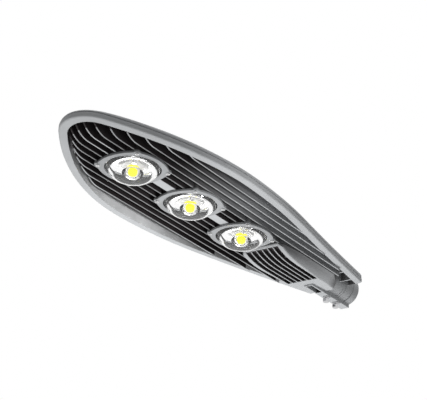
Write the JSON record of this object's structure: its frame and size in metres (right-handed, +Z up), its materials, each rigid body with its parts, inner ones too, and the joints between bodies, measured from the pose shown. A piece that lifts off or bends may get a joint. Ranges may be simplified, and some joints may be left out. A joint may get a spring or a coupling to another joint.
{
  "type": "led street light head",
  "caption": "Pole-end LED street light head: long leaf-shaped finned casting with round bulged lenses underneath, a finned driver cover and a round socket with clamping bolts for the pole arm.",
  "frame": {"origin": "centre of the pole socket's mouth, on the bore axis", "axes": "+X along the bore from the mouth to the tip of the head, +Z up; the light leaves towards -Z"},
  "size_m": [0.9235, 0.3064, 0.0891],
  "materials": {
    "housing_paint": "satin grey powder coat on die-cast aluminium",
    "cover_paint": "satin grey powder coat",
    "frame_paint": "satin grey powder coat",
    "lens_glass": "clear moulded glass",
    "phosphor": "yellow phosphor resin",
    "reflector_metal": "bright anodised",
    "screw_steel": "stainless",
    "board": "white coated aluminium core board",
    "seal": "black silicone rubber",
    "driver_case": "anodised case",
    "terminal_plastic": "white nylon",
    "gland_plastic": "black nylon",
    "lead_sleeve": "silicone sleeve"
  },
  "bodies": {
    "root": {"housing": "housing_paint", "driver_cover": "cover_paint", "lens_frame_1": "frame_paint", "lens_1": "lens_glass", "cob_phosphor_1": "phosphor", "reflector_1": "reflector_metal", "frame_screws_1": "screw_steel", "cob_board_1": "board", "cob_screws_1": "screw_steel", "lens_gasket_1": "seal", "led_lead_1": "lead_sleeve", "lens_frame_2": "frame_paint", "lens_2": "lens_glass", "cob_phosphor_2": "phosphor", "reflector_2": "reflector_metal", "frame_screws_2": "screw_steel", "cob_board_2": "board", "cob_screws_2": "screw_steel", "lens_gasket_2": "seal", "led_lead_2": "lead_sleeve", "lens_frame_3": "frame_paint", "lens_3": "lens_glass", "cob_phosphor_3": "phosphor", "reflector_3": "reflector_metal", "frame_screws_3": "screw_steel", "cob_board_3": "board", "cob_screws_3": "screw_steel", "lens_gasket_3": "seal", "led_lead_3": "lead_sleeve", "pole_bolt_1": "screw_steel", "pole_nut_1": "screw_steel", "pole_bolt_2": "screw_steel", "pole_nut_2": "screw_steel", "led_driver": "driver_case", "driver_screws": "screw_steel", "terminal_block": "terminal_plastic", "cable_gland": "gland_plastic", "cover_gasket": "seal", "cover_screws": "screw_steel", "earth_screw": "screw_steel"}
  },
  "joints": []
}
